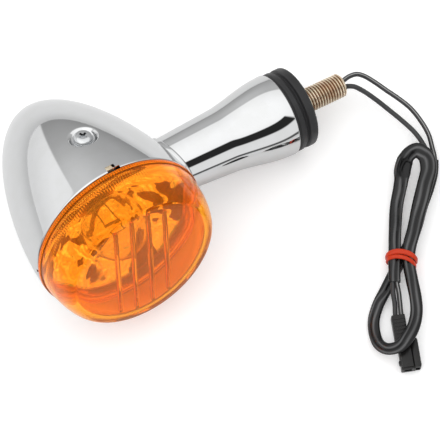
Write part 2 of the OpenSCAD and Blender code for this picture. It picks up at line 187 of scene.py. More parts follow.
def spline(points, step):
    """A smooth line through points, cut into stretches of about one step."""
    pts = [Vector(p) for p in points]
    pts = [2 * pts[0] - pts[1]] + pts + [2 * pts[-1] - pts[-2]]
    out = []
    for i in range(1, len(pts) - 2):
        p0, p1, p2, p3 = pts[i - 1:i + 3]
        d0, d1, d2 = ((b - a).length ** 0.5 for a, b in ((p0, p1), (p1, p2), (p2, p3)))
        m1 = (p1 - p0) / d0 - (p2 - p0) / (d0 + d1) + (p2 - p1) / d1
        m2 = (p2 - p1) / d1 - (p3 - p1) / (d1 + d2) + (p3 - p2) / d2
        m1, m2 = m1 * d1, m2 * d1
        n = max(1, round((p2 - p1).length / step))
        for k in range(n):
            t = k / n
            out.append((2 * t**3 - 3 * t**2 + 1) * p1 + (t**3 - 2 * t**2 + t) * m1
                       + (3 * t**2 - 2 * t**3) * p2 + (t**3 - t**2) * m2)
    return out + [pts[-2]]


def headings(line):
    """The unit direction of a line at each of its points."""
    return [(line[min(i + 1, len(line) - 1)] - line[max(i - 1, 0)]).normalized()
            for i in range(len(line))]


def sweep(name, line, section, material, rolls=None, inner=None, values=None, **kw):
    """Sweeps section(i), a list of (side, up) points, along a line in mm in the row frame.
    With inner(i) the tube is hollow and open at both ends."""
    dirs = headings(line)
    verts, count = [], len(section(0))
    for shape in (section, inner) if inner else (section,):
        for i, (p, t) in enumerate(zip(line, dirs)):
            side = Vector((0, 0, 1)).cross(t).normalized()
            up = t.cross(side)
            roll = rolls[i] if rolls else 0.0
            s = side * math.cos(roll) + up * math.sin(roll)
            u = up * math.cos(roll) - side * math.sin(roll)
            verts += [row(p + s * a + u * b) for a, b in shape(i)]
    rings = len(line)
    quads = []
    for part in range(2 if inner else 1):
        base = part * rings * count
        for i in range(rings - 1):
            for k in range(count):
                a, b = base + i * count + k, base + i * count + (k + 1) % count
                quads.append((a, b, b + count, a + count))
    for i in (0, rings - 1):
        if inner:
            o, n = i * count, (rings + i) * count
            quads += [(o + k, o + (k + 1) % count, n + (k + 1) % count, n + k)
                      for k in range(count)]
        else:
            quads.append(tuple(i * count + k for k in range(count)))
    return make(name, verts, quads, material, values=values, **kw)


def circle(r, n):
    return [(r * math.cos(TAU * k / n), r * math.sin(TAU * k / n)) for k in range(n)]


def join(name, parts):
    """Joins objects into the first one."""
    with bpy.context.temp_override(active_object=parts[0], object=parts[0],
                                   selected_editable_objects=parts, selected_objects=parts):
        bpy.ops.object.join()
    parts[0].name = parts[0].data.name = name
    return parts[0]


def cut(obj, cutter, how="DIFFERENCE"):
    """Applies one exact boolean and throws the cutter away."""
    mod = obj.modifiers.new("cut", "BOOLEAN")
    mod.object, mod.operation, mod.solver = cutter, how, "EXACT"
    bpy.context.view_layer.update()
    shaped = obj.evaluated_get(bpy.context.evaluated_depsgraph_get())
    mesh = bpy.data.meshes.new_from_object(shaped)
    obj.modifiers.clear()
    obj.data = mesh
    bpy.data.objects.remove(cutter)
    return obj


def resmooth(obj, angle):
    """Smooth shading again after booleans, sharp where faces meet at more than the angle."""
    obj.data.shade_smooth()
    obj.data.set_sharp_from_angle(angle=math.radians(angle))


def block(name, lo, hi, where, material, bevel=0.0):
    """A box with rounded edges, its corners in mm put in place by where()."""
    bm = bmesh.new()
    bmesh.ops.create_cube(bm, size=1)
    for v in bm.verts:
        v.co = Vector(l + (c + 0.5) * (h - l) for l, h, c in zip(lo, hi, v.co))
    if bevel:
        bmesh.ops.bevel(bm, geom=bm.edges[:], offset=bevel, segments=2, profile=0.5,
                        affect="EDGES")
    bm.verts.ensure_lookup_table()
    verts = [where(v.co) for v in bm.verts]
    faces = [[v.index for v in f.verts] for f in bm.faces]
    bm.free()
    return make(name, verts, faces, material, sharp=40)


# ------------------------------------------------------------------ node helpers
def put(tree, kind, inputs=None, **props):
    """A node with its properties set, and its inputs linked or given a constant."""
    node = tree.nodes.new(kind)
    for key, value in props.items():
        setattr(node, key, value)
    for key, value in (inputs or {}).items():
        socket = node.inputs[key]
        if isinstance(value, bpy.types.NodeSocket):
            tree.links.new(value, socket)
        else:
            socket.default_value = value
    return node


def calc(tree, how, a, b=0.0):
    """One step of arithmetic."""
    return put(tree, "ShaderNodeMath", {0: a, 1: b}, operation=how).outputs[0]


def ramp(tree, value, lo, hi, out_lo=0.0, out_hi=1.0, how="SMOOTHSTEP"):
    """Maps lo to hi onto out_lo to out_hi, and holds the end values beyond."""
    return put(tree, "ShaderNodeMapRange", {
        "Value": value, "From Min": lo, "From Max": hi, "To Min": out_lo, "To Max": out_hi},
        interpolation_type=how).outputs[0]


def blend(tree, fac, a, b):
    """Mixes two colours."""
    node = put(tree, "ShaderNodeMix", data_type="RGBA")
    for key, value in ((0, fac), (6, a), (7, b)):
        if isinstance(value, bpy.types.NodeSocket):
            tree.links.new(value, node.inputs[key])
        else:
            node.inputs[key].default_value = value if key == 0 else tuple(value) + (1,)
    return node.outputs[2]


class Finish:
    """A Principled material whose colour, roughness and bump come from noise on the object."""

    def __init__(self, name, color, rough, metallic=0.0, grain=900, **constants):
        self.material = bpy.data.materials.new(name)
        self.material.use_nodes = True
        self.tree = self.material.node_tree
        self.shader = self.tree.nodes["Principled BSDF"]
        self.at = put(self.tree, "ShaderNodeTexCoord").outputs["Object"]
        self.fine = self.noise(grain)
        self.broad = self.noise(grain / 12)
        self.color = color
        self.shader.inputs["Metallic"].default_value = metallic
        for key, value in constants.items():
            self.shader.inputs[key.replace("_", " ")].default_value = value
        self.rough(*rough)

    def noise(self, scale, detail=3.0, swirl=0.0):
        return put(self.tree, "ShaderNodeTexNoise",
                   {"Vector": self.at, "Scale": scale, "Detail": detail,
                    "Distortion": swirl}).outputs["Fac"]

    def attribute(self, name):
        return put(self.tree, "ShaderNodeAttribute", attribute_name=name).outputs["Fac"]

    def rough(self, lo, hi, source=None):
        self.tree.links.new(ramp(self.tree, source or self.broad, 0.3, 0.7, lo, hi),
                            self.shader.inputs["Roughness"])

    def tint(self, other, amount=1.0, source=None, lo=0.35, hi=0.65):
        """Colour wanders from the base towards another one."""
        fac = ramp(self.tree, source or self.broad, lo, hi, 0.0, amount)
        self.color = blend(self.tree, fac, self.color, other)
        return self

    def bump(self, distance, strength=1.0, source=None):
        node = put(self.tree, "ShaderNodeBump", {
            "Height": source or self.fine, "Distance": distance, "Strength": strength})
        self.tree.links.new(node.outputs[0], self.shader.inputs["Normal"])
        return self

    def done(self):
        if isinstance(self.color, bpy.types.NodeSocket):
            self.tree.links.new(self.color, self.shader.inputs["Base Color"])
        else:
            self.shader.inputs["Base Color"].default_value = tuple(self.color) + (1,)
        return self.material


# ------------------------------------------------------------------ materials
def chrome(name, color=(0.63, 0.635, 0.64), rough=(0.02, 0.05)):
    """Mirror chrome: faint waviness and haze, and painted shade where the mesh marks a crevice, a joint or an
    inside.
    """
    f = Finish(name, color, rough, metallic=1.0, grain=700)
    f.tint((0.6, 0.605, 0.6), 0.5, source=f.noise(160))
    # Painted shade: near-black where the mesh's attribute marks crevices, joints and insides.
    f.tint((0.012, 0.012, 0.013), 1.0, source=f.attribute("crevice_shade"), lo=0.1, hi=0.9)
    f.bump(0.00002, 0.03, source=f.noise(60, 1.0))
    return f.done()


def foil():
    """Vacuum-metallised plastic: bright, with a softly rippled surface, dark brown noise patches as a painted
    reflection of dark surroundings, and a painted glow in its own colour.
    """
    f = Finish("mirror_metal", (0.97, 0.9, 0.87), (0.04, 0.09), metallic=1.0, grain=700)
    # Painted reflection: dark brown patches stand for dark things mirrored in the bowl.
    f.tint((0.16, 0.06, 0.045), 1.0, source=f.noise(60, 1.5, 1.6), lo=0.53, hi=0.56)
    # Painted light: the colour also glows, though the reflector is no lamp.
    f.tree.links.new(f.color, f.shader.inputs["Emission Color"])
    f.shader.inputs["Emission Strength"].default_value = 0.4
    return f.bump(0.005, 1.0, source=f.noise(120, 1.0, 1.5)).done()


def plated_thread():
    """Yellow zinc on a rolled thread: pale crests, brown in the grooves."""
    f = Finish("yellow_zinc", (0.9, 0.77, 0.6), (0.22, 0.36), metallic=0.8, grain=1500)
    f.tint((0.52, 0.30, 0.17), 0.8, source=f.noise(170, 2.0))
    f.tint((0.70, 0.66, 0.48), 0.5, source=f.noise(260, 2.0))
    f.tint((0.16, 0.065, 0.025), 0.95, source=f.attribute("groove"), lo=0.15, hi=0.95)
    f.bump(0.00003, 0.4)
    return f.done()


def plain_metal(name, color, rough):
    """Unpolished metal, dull in patches."""
    f = Finish(name, color, rough, metallic=1.0, grain=1400)
    f.tint(tuple(c * 0.75 for c in color), 0.6)
    f.bump(0.00002, 0.3)
    return f.done()


def soft(name, color, dark, rough, grain, bump, **constants):
    """Rubber and plastic: a little mottled, with fine moulded grain."""
    f = Finish(name, color, rough, grain=grain, **constants)
    f.tint(dark, 0.7)
    f.bump(bump, 0.5)
    return f.done()


def wire_coat(name, stripe):
    """PVC wire coat. Where the mesh's stripe attribute is 1 it is white."""
    f = Finish(name, (0.016, 0.016, 0.017), (0.28, 0.42), grain=1600, IOR=1.5)
    f.tint((0.03, 0.03, 0.031), 0.6)
    if stripe:
        f.tint((0.3, 0.3, 0.295), 1.0, source=f.attribute("stripe"), lo=0.5, hi=0.7)
    f.bump(0.00002, 0.3)
    return f.done()


def sleeve_coat():
    """Soft PVC sleeve: glossy black, with painted highlights in grey along its ridges where the mesh's attribute
    is high.
    """
    f = Finish("black_sleeve", (0.003, 0.003, 0.0033), (0.18, 0.3), grain=600,
               IOR=1.46, Specular_IOR_Level=0.32)
    # Painted highlight and shade: the attribute lifts the black base towards grey on ridges and leaves creases
    # dark.
    f.tint((0.11, 0.11, 0.112), 1.0, source=f.attribute("painted_sheen"), lo=0.0, hi=1.0)
    return f.bump(0.00008, 0.4, source=f.noise(220, 2.0)).done()


def clear(name, color, rough, ior, through=1.0, edge=None, **constants):
    """Glass or clear plastic. Where the mesh's edge attribute is 1 it takes the edge colour, which the amber lens
    uses as a painted shade line.
    """
    f = Finish(name, color, rough, grain=500, IOR=ior, Transmission_Weight=through, **constants)
    f.tint(tuple(c * 0.97 for c in color), 0.5)
    if edge:
        f.tint(edge, 1.0, source=f.attribute("edge"), lo=0.1, hi=0.9)
    f.bump(0.00001, 0.1, source=f.noise(120, 1.0))
    return f.done()


M = {
    "chrome": chrome("chrome"),
    "screw_chrome": chrome("screw_chrome", (0.55, 0.56, 0.57), (0.1, 0.2)),
    "steel": plain_metal("steel", (0.5, 0.51, 0.52), (0.3, 0.45)),
    "yellow_zinc": plated_thread(),
    "mirror_metal": foil(),
    "brass": plain_metal("brass", (0.75, 0.58, 0.28), (0.3, 0.45)),
    "black_rubber": soft("black_rubber", (0.022, 0.022, 0.023), (0.014, 0.014, 0.015),
                         (0.4, 0.52), 1300, 0.00004, Specular_IOR_Level=0.35),
    "phenolic": soft("phenolic", (0.2, 0.1, 0.055), (0.14, 0.07, 0.04),
                     (0.5, 0.65), 900, 0.00004),
    "black_wire": wire_coat("black_wire", False),
    "striped_wire": wire_coat("striped_wire", True),
    "black_sleeve": sleeve_coat(),
    "black_plastic": soft("black_plastic", (0.011, 0.0105, 0.01), (0.006, 0.006, 0.006),
                          (0.26, 0.38), 1200, 0.00005, Specular_IOR_Level=0.28),
    "red_band": soft("red_band", (0.54, 0.036, 0.006), (0.3, 0.014, 0.003), (0.34, 0.5),
                     900, 0.00008, Subsurface_Weight=0.1, Subsurface_Scale=0.0006,
                     Specular_IOR_Level=0.25),
    "bulb_glass": clear("bulb_glass", (0.96, 0.97, 0.96), (0.01, 0.03), 1.5),
    "filament": plain_metal("filament", (0.4, 0.4, 0.42), (0.35, 0.5)),
    # The amber lens glows faintly by emission: painted light, as the lens is no lamp.
    "amber_lens": clear("amber_lens", (1.0, 0.4, 0.025), (0.02, 0.04), 1.49, 0.97,
                        (0.1, 0.012, 0.0),
                        Specular_IOR_Level=0.3, Specular_Tint=(1.0, 0.42, 0.08, 1.0),
                        Emission_Color=(1.0, 0.3, 0.008, 1.0), Emission_Strength=0.06),
}
for node, slot in ((p["node"], p["material_slot"]) for p in frame["record"]["subparts"]):
    mesh = nodes[node].data
    mesh.materials.clear()
    mesh.materials.append(M[slot])

# ------------------------------------------------------------------ camera
CAMERA_AT = row((-200.98, -373.87, 1252.40))
RIGHT = Vector((0.86604, -0.49997, 0.00287)).normalized()
FORWARD = Vector((0.15618, 0.26507, -0.95150)).normalized()
camera_data = bpy.data.cameras.new("camera")
camera_data.lens = 268.4
camera_data.sensor_width = 36
camera_data.clip_end = 10
camera = bpy.data.objects.new("camera", camera_data)
camera.matrix_world = Matrix.Translation(CAMERA_AT) @ Matrix(
    (RIGHT, RIGHT.cross(FORWARD), -FORWARD)).transposed().to_4x4()
bpy.context.scene.collection.objects.link(camera)
bpy.context.scene.camera = camera

# ------------------------------------------------------------------ cords
WIRE_R, WIRE_SIDES, STRIPE_SIDE = 1.0, 16, 4
LEAD_JOIN, STUD_END = 108.0, 115.0
WIRE_OFF = 1.7
STRIPED_ROUTE = [
    (78.5, -1.5, 11.5), (81.5, -2, 11), (84, -4, 10), (86.5, -8, 9), (89, -13, 8), (92, -19, 7),
    (94, -24, 6), (95, -30, 5), (95, -36.5, 4), (93.5, -42, 3.5), (92, -46.5, 3)]
BLACK_ROUTE = [
    (77.5, -6, 11.5), (80, -9, 10.5), (83, -14.5, 9), (86, -21, 7), (88.5, -27, 5.5),
    (90.5, -33.5, 4.5), (91, -40, 3.5), (90, -45.5, 3)]
SLEEVE_ROUTE = [
    (91, -46.5, 2.5), (88, -51, 2.5), (83.5, -55.5, 2.5), (76.5, -61.5, 2.5), (71, -67, 2.5),
    (65, -72, 2.5), (58.5, -76, 2.5), (52.5, -80, 2.5), (46.5, -84, 2.5), (40.5, -88, 2.5),
    (36, -92.5, 2.5), (33.5, -97.5, 2.8), (32.5, -102.3, 4.6), (34, -106.3, 7.5),
    (38.2, -108, 9.2), (43, -106.5, 9.2), (47.5, -103.5, 8.5), (51.5, -99, 7.5),
    (54.5, -93.5, 6.5), (57, -86.5, 6.5), (59.5, -80, 7), (63, -74.5, 7.5), (68.5, -69, 7.5),
    (75.5, -61.5, 7.5), (81.5, -55.5, 8), (86.5, -50, 8.5), (88, -45, 9), (86, -41.5, 9.5),
    (82, -41.5, 9), (78.5, -44, 7.5), (74.5, -49, 5.5), (68, -56.5, 4), (62.5, -64.5, 5),
    (58, -71.5, 6.5), (54.5, -77, 7), (50.5, -84, 7)]
TAIL_BLACK = [(48, -87, 6), (46.5, -91, 4.5), (44.3, -95.2, 3)]
TAIL_STRIPED = [(50, -88, 6), (48.3, -92, 4.5), (46.5, -96, 3)]
PLUG_AT = Vector((45.4, -95.6, 0))
PLUG_TURN = Matrix.Rotation(math.radians(-111.3), 3, "Z")
PLUG_L, GRIP_L = 22.7, 10.5
ABREAST = 0.85
MOUTH_FROM = 0.45


def plug(p):
    """A point in the connector's own frame, +X from its wire end, in the row frame in metres."""
    return row(PLUG_TURN @ Vector(p) + PLUG_AT)


def in_stud(x, side):
    """Where a wire lies inside the stud, in mm in the row frame."""
    return (LAMP @ Vector((x, STALK_Y, side * WIRE_OFF)) * MM + LAMP_AT) / MM


def abreast(side):
    """The line that a wire follows inside the sleeve, beside its centre line."""
    line = [Vector(p) for p in SLEEVE_ROUTE]
    out = []
    for i, (p, t) in enumerate(zip(line, headings(line))):
        across = Vector((0, 0, 1)).cross(t).normalized()
        up = t.cross(across)
        _, _, roll, _, crease = flattening(i)
        sunk = 0.3 + 1.8 * max(0, crease - MOUTH_FROM)
        out.append(p + (across * math.cos(roll) + up * math.sin(roll)) * side * ABREAST
                   - (up * math.cos(roll) - across * math.sin(roll)) * sunk)
    return out


def run(line):
    """A line in mm as a path of points in metres, and its length."""
    path = [tuple(row(p)) for p in line]
    return path, sum((Vector(b) - Vector(a)).length for a, b in zip(path, path[1:]))


def wire(name, side, before, after, slot, *replaced):
    """One wire from its lead inside the stud, through the sleeve, to the connector."""
    start = [in_stud(LEAD_JOIN, side), in_stud(STUD_END, side)]
    line = spline(start + before + abreast(side)[1:] + after, 1.0)
    lit = [float(k == STRIPE_SIDE) for k in range(WIRE_SIDES)] * len(line)
    obj = sweep(name, line, lambda i: circle(WIRE_R, WIRE_SIDES), M[slot],
                values={"stripe": lit})
    place(obj, "housing", slot, *replaced)
    return obj, *run(line)


# Flattening of the sleeve along its route: point index, half width, half height, roll,
# side offset of the crease, its depth. A crease deeper than MOUTH_FROM gapes like a mouth.
FLAT = [(0, 2.5, 1.5, 0, 0.1, 0.3), (3, 2.6, 1.5, 0, 0.1, 0.35), (8, 2.4, 1.6, 0, 0.2, 0.3),
        (9, 2.4, 1.6, 0, -0.3, 0.3), (11, 2.4, 1.5, 0.2, -0.4, 0.45), (13, 2.4, 1.5, 0.7, 0, 0.3),
        (15, 2.6, 1.4, 0.3, 0.3, 0.35), (18, 2.5, 1.6, 0, 0.2, 0.3), (20, 2.5, 1.6, 0, 0, 0.25),
        (21.5, 2.8, 1.5, 0, -0.1, 0.38), (24, 3.2, 1.4, 0, -0.15, 0.38),
        (25.5, 3.3, 1.4, 0, -0.2, 0.35), (26.5, 3.2, 1.4, -0.2, 0, 0.15),
        (27.4, 3.0, 1.4, -0.5, 0, 0.1), (28.1, 3.1, 1.6, -0.6, 0, 0.3),
        (28.6, 3.5, 1.9, -0.5, 0, 0.75), (29.4, 3.5, 1.9, -0.3, 0, 0.75),
        (29.9, 2.9, 1.5, -0.1, 0.2, 0.45), (30.5, 2.7, 1.5, 0, 0.4, 0.38),
        (33, 2.5, 1.6, 0, 0.35, 0.38), (35, 2.4, 1.5, 0, 0.2, 0.3)]
SLEEVE_WALL = 0.45


def flattening(u):
    """Half width, half height, roll, crease offset and crease depth at a place on the route."""
    for (a, *p), (b, *q) in zip(FLAT, FLAT[1:]):
        if u <= b:
            t = smooth((u - a) / (b - a))
            return [x + (y - x) * t for x, y in zip(p, q)]
    return FLAT[-1][1:]


def sleeve():
    """A soft PVC tube, flattened and creased where it bends, open at both ends."""
    step = 0.8
    line = spline(SLEEVE_ROUTE, step)
    route = [Vector(p) for p in SLEEVE_ROUTE]
    marks = []
    for i, (a, b) in enumerate(zip(route, route[1:])):
        n = max(1, round((b - a).length / step))
        marks += [i + j / n for j in range(n)]
    marks.append(len(route) - 1)
    shape = [flattening(u) for u in marks]
    sides = 40

    def ring(i, shrink):
        """The tube's section, drawn in by its wall's thickness for the inner side."""
        w, h, _, lie, crease = shape[i]
        lie += 0.05 * math.sin(0.31 * i)
        out = []
        wide = 0.24 + 1.2 * max(0, crease - MOUTH_FROM)
        for a, b in circle(1.0, sides):
            dent = crease * math.exp(-((a - lie) / wide) ** 2) if b > 0 else 0
            out.append(((w - shrink) * bulge(a, 0.85),
                        (h * (1 - dent) - shrink) * bulge(b, 0.75)))
        return out

    def shade(i, a, b):
        """Painted light: 1 for painted highlights beside the crease, 0 for painted shade in the crease and down
        the sides; a gaping mouth is painted dark with a lit rim.
        """
        _, _, _, lie, crease = shape[i]
        if b < 0:
            return 0.1
        mouth = smooth((crease - MOUTH_FROM) / 0.2)
        lie += 0.05 * math.sin(0.31 * i)
        beside = math.exp(-((abs(a - lie) - 0.4) / 0.16) ** 2)
        groove = math.exp(-((a - lie) / 0.14) ** 2)
        pale = (0.12 + 0.8 * beside) * (1 - groove * min(1, crease / 0.3)) * (1 - abs(a) ** 5)
        rim = 0.7 * math.exp(-((abs(a) - 0.92) / 0.06) ** 2)
        return pale * (0.85 + 0.15 * math.sin(0.23 * i)) * (1 - mouth) + rim * mouth

    painted_sheen = [shade(i, a, b) for i in range(len(line)) for a, b in circle(1.0, sides)]
    obj = sweep("sleeve_tube", line, lambda i: ring(i, 0), M["black_sleeve"],
                rolls=[s[2] for s in shape], inner=lambda i: ring(i, SLEEVE_WALL),
                values={"painted_sheen": painted_sheen + [0.0] * len(painted_sheen)})
    place(obj, "housing", "black_sleeve", "sleeve")


wires = [wire("wire_black_run", -1, BLACK_ROUTE, TAIL_BLACK, "black_wire",
              "wire_black", "tail_black"),
         wire("wire_striped_run", 1, STRIPED_ROUTE, TAIL_STRIPED, "striped_wire",
              "wire_striped", "tail_striped")]
sleeve()

# ------------------------------------------------------------------ bullet housing
RIM_R, BULLET_L, WALL = 36.0, 72.0, 1.8
SCREW_Y, SEAT_Z = 24.0, 30.2
DIMPLE_IN, DIMPLE_OUT = 4.4, 6.3
SLOT_EDGES = (-2.7, 1.2, 2.7)
BAR_DEEP, STEM_DEEP, DRAIN_DEEP = 1.2, 2.9, 0.9
DRAINS = [(-92, 0.95), (71, 0.95)]


def bullet_r(y, grow=0.0):
    """The bullet's radius at a height behind the rim, its skin moved outwards by grow."""
    t = min(1.0, max(0.0, y / (BULLET_L + grow)))
    return (RIM_R + grow) * (1 - t ** 1.55) ** 0.51


def on_bullet(y, z, grow):
    """How far along the stalk the bullet's grown surface lies."""
    return math.sqrt(max(0.0, bullet_r(y, grow) ** 2 - z * z))


def dimpled(x, y, z):
    """The bullet's surface sinks to a flat seat round the screw."""
    if z <= 0:
        return z
    away = math.hypot(x, y - SCREW_Y)
    deep = 1 - smooth((away - DIMPLE_IN) / (DIMPLE_OUT - DIMPLE_IN))
    return z + (SEAT_Z - z) * deep


def housing():
    """The bullet as a shell: a fine grid round the screw's dimple, and cells left out where
    the pry slot and the two drain notches are cut through."""
    edge = [math.degrees(math.asin(v / RIM_R)) for v in SLOT_EDGES]
    fine = [v for v in np.arange(-13.5, 13.6, 0.5) if min(abs(v - e) for e in edge) > 0.2]
    cols = sorted(fine + edge + [a + s * w for a, w in DRAINS for s in (-1, 1)]
                  + [v for v in np.arange(-180, 180, 1.8) if abs(v) > 13.7
                     and min(abs(v - a) for a, _ in DRAINS) > 1.3])
    coarse = [BULLET_L * (1 - (1 - s) ** 2) for s in np.linspace(0.03, 0.985, 78)]
    rows = [(0, -0.35), (0.1, -0.1), (0.35, 0)] + [(y, 0) for y in sorted(
        [DRAIN_DEEP, BAR_DEEP, STEM_DEEP, 4.0] + list(np.arange(16.5, 31.6, 0.3))
        + [y for y in coarse if y > 4.5 and not 16.3 < y < 31.8])]
    cut_out = set()
    middles = [(a + b) / 2 for a, b in zip(cols, cols[1:] + [cols[0] + 360])]
    for i, a in enumerate(middles):
        for j in range(len(rows) - 1):
            y = (rows[j][0] + rows[j + 1][0]) / 2
            bar = y < BAR_DEEP and edge[0] < a < edge[2]
            stem = y < STEM_DEEP and edge[0] < a < edge[1]
            drain = y < DRAIN_DEEP and any(abs(a - c) < w for c, w in DRAINS)
            if bar or stem or drain:
                cut_out.add((i, j))
    n, m = len(cols), len(rows)
    verts, crevice_shade = [], []
    for a in cols:
        for y, off in rows:
            r, t = bullet_r(y) + off, math.radians(a)
            x, z = r * math.sin(t), r * math.cos(t)
            verts.append(lamp((x, y, dimpled(x, y, z))))
            crevice_shade.append(0.0)
    # Painted shade: every point inside the shell takes 1, and the walls of the cuts fade into it, so the slot and
    # notches look dark.
    for a in cols:
        for y, _ in rows:
            y *= (BULLET_L - WALL) / BULLET_L
            r, t = bullet_r(y, -WALL), math.radians(a)
            x, z = r * math.sin(t), r * math.cos(t)
            low = 1 - smooth((math.hypot(x, y - SCREW_Y) - 3.2) / 3.0) if z > 0 else 0
            verts.append(lamp((x, y, z + (SEAT_Z - WALL - z) * low)))
            crevice_shade.append(1.0)
    at = lambda i, j: i % n * m + j
    inside = n * m
    faces = []
    for i in range(n):
        for j in range(m - 1):
            quad = (at(i, j), at(i + 1, j), at(i + 1, j + 1), at(i, j + 1))
            if (i, j) not in cut_out:
                faces += [quad, tuple(inside + v for v in reversed(quad))]
                sides = [(quad[0], quad[1], (i, j - 1)), (quad[1], quad[2], ((i + 1) % n, j)),
                         (quad[2], quad[3], (i, j + 1)), (quad[3], quad[0], ((i - 1) % n, j))]
                faces += [(a, b, inside + b, inside + a) for a, b, cell in sides
                          if cell in cut_out or cell[1] < 0]
    for base, y in ((0, BULLET_L), (inside, BULLET_L - WALL)):
        verts.append(lamp((0, y, 0)))
        crevice_shade.append(1.0 if base else 0.0)
        faces += [(len(verts) - 1, base + at(i, m - 1), base + at(i + 1, m - 1)) for i in range(n)]
    used = sorted({v for f in faces for v in f})
    new = {v: k for k, v in enumerate(used)}
    obj = make("housing_bullet", [verts[v] for v in used],
               [tuple(new[v] for v in f) for f in faces],
               M["chrome"], sharp=50, values={"crevice_shade": [crevice_shade[v] for v in used]})
    place(obj, "housing", "chrome", "housing_shell")


housing()

# ------------------------------------------------------------------ stalk, collar, base, stud
STALK_END, STALK_R = 84.7, 11.9


def stalk_out(x):
    """The stalk's outer radius."""
    return STALK_R + 0.065 * (x - 34) + 2.1 * smooth((x - 58) / 22)


def ring_on_bullet(name, profile, material):
    """A closed ring round the stalk's root from (radius, height off the bullet, painted shade) points."""
    steps, verts, crevice_shade = 144, [], []
    for i in range(steps):
        a = TAU * i / steps
        for r, h, g in profile:
            y, z = STALK_Y + r * math.cos(a), r * math.sin(a)
            verts.append(lamp((on_bullet(y, z, h), y, z)))
            crevice_shade.append(g)
    return make(name, verts, grid_faces(steps, len(profile), ring=True), material, sharp=60,
                values={"crevice_shade": crevice_shade})


def stalk():
    """The flared hollow stalk, its root cut to the bullet and its neck inside the housing."""
    steps = 160
    neck_r, neck_x = 5.6, 25.0
    tail = rounded([(80, stalk_out(80)), (STALK_END, stalk_out(84), 0.5), (STALK_END, 12.6)], 4)
    straight = [(x, stalk_out(x)) for x in np.arange(42, 80, 1.0)]
    rows = straight + tail
    verts, crevice_shade = [], []
    for i in range(steps):
        a = TAU * i / steps
        root = on_bullet(STALK_Y + STALK_R * math.cos(a), STALK_R * math.sin(a), 1.0)
        # Painted shade (1) on the neck, in a band where the stalk meets the bullet, and on the inside.
        verts += [about_stalk(neck_x, neck_r - 1.2, a), about_stalk(neck_x, neck_r, a),
                  about_stalk(root - 0.2, neck_r, a)]
        crevice_shade += [1.0, 1.0, 1.0]
        for x, g in ((root, 1.0), (root + 1.25, 1.0), (root + 1.6, 0.0), (root + 3.5, 0.0)):
            verts.append(about_stalk(x, stalk_out(x), a))
            crevice_shade.append(g)
        for x, r in rows:
            verts.append(about_stalk(x, r, a))
            crevice_shade.append(0.0)
        for x, r in ((STALK_END - 5, 12.4), (60, 9.6), (48, 8.8), (42, 4.4)):
            verts.append(about_stalk(x, r, a))
            crevice_shade.append(1.0)
    faces = grid_faces(steps, len(verts) // steps, ring=True)
    obj = make("stalk_flared", verts, faces, M["chrome"], sharp=50, values={"crevice_shade": crevice_shade})
    place(obj, "housing", "chrome", "stalk")


stalk()
# The third number is painted shade: 1 where the collar meets the bullet and in the groove on its top.
collar_profile = [(11.6, 0.4, 1), (12.7, -0.35, 1), (12.7, 0.12, 1), (12.7, 0.3, 0),
                  (12.7, 1.8, 0), (12.62, 2.05, 0), (12.4, 2.2, 0), (12.2, 2.2, 0.2),
                  (12.08, 2.12, 1), (12.02, 1.7, 1), (11.6, 1.5, 1)]
place(ring_on_bullet("collar_ring", collar_profile, M["chrome"]), "housing", "chrome",
      "stalk_collar")

STUD_HOLE = 4.75
gasket = rounded([
    (84.7, 15.4), (84.75, 16.1, 0.1), (85.5, 16.1, 0.2), (86.1, 16.8, 0.5), (88.0, 16.8, 0.5),
    (88.7, 15.7, 0.2), (89.2, 15.6), (89.2, STUD_HOLE), (84.7, STUD_HOLE)], 4)
boot = rounded([
    (89.3, 15.6), (89.6, 15.6, 0.1), (90.1, 16.8, 0.5), (93.1, 16.8, 0.9), (93.8, 15.9, 0.3),
    (93.8, STUD_HOLE), (89.3, STUD_HOLE)], 5)
for name, profile, node in (("gasket_ring", gasket, "base_gasket"),
                            ("boot_ring", boot, "base_boot")):
    place(lathe(name, profile, about_stalk, M["black_rubber"], steps=128, closed=True, sharp=60),
          "housing", "black_rubber", node)

STUD_R, BORE_R, PITCH, THREAD_DEEP = 5.0, 3.0, 1.25, 0.62


def stud():
    """A rolled thread: a helical ridge that runs out at both ends, a chamfered tip and a bore."""
    steps, start = 96, 93.95
    back, seat, flange_r, neck_r = 76.7, 79.7, 8.5, 4.7
    xs = list(np.arange(start, STUD_END - 0.02, 0.1)) + [STUD_END]
    verts, groove = [], []
    for i in range(steps):
        a = TAU * i / steps
        verts += [about_stalk(x, r, a) for x, r in (
            (back, BORE_R), (back, flange_r), (seat, flange_r), (seat, neck_r),
            (start, neck_r))]
        groove += [0.5] * 5
        for x in xs:
            phase = ((x - start) / PITCH - i / steps) % 1.0
            ridge = smooth((abs(2 * phase - 1) - 0.12) / 0.72)
            fade = smooth((STUD_END - 0.5 - x) / 0.9)
            tip = max(0.0, x - (STUD_END - 0.8)) * 0.95
            deep = THREAD_DEEP * (1 - ridge) * fade
            verts.append(about_stalk(x, STUD_R - max(deep, tip), a))
            groove.append((1 - ridge) * fade)
        verts.append(about_stalk(STUD_END, BORE_R + 0.15, a))
        verts.append(about_stalk(STUD_END - 0.3, BORE_R, a))
        groove += [0.1, 0.6]
    faces = grid_faces(steps, len(verts) // steps, ring=True)
    obj = make("stud_threaded", verts, faces, M["yellow_zinc"], sharp=50,
               values={"groove": groove})
    place(obj, "housing", "yellow_zinc", "mounting_stud")


stud()

# ------------------------------------------------------------------ screw
HEAD_Z, HEAD_R, HEAD_H = SEAT_Z + 0.51, 3.75, 2.2


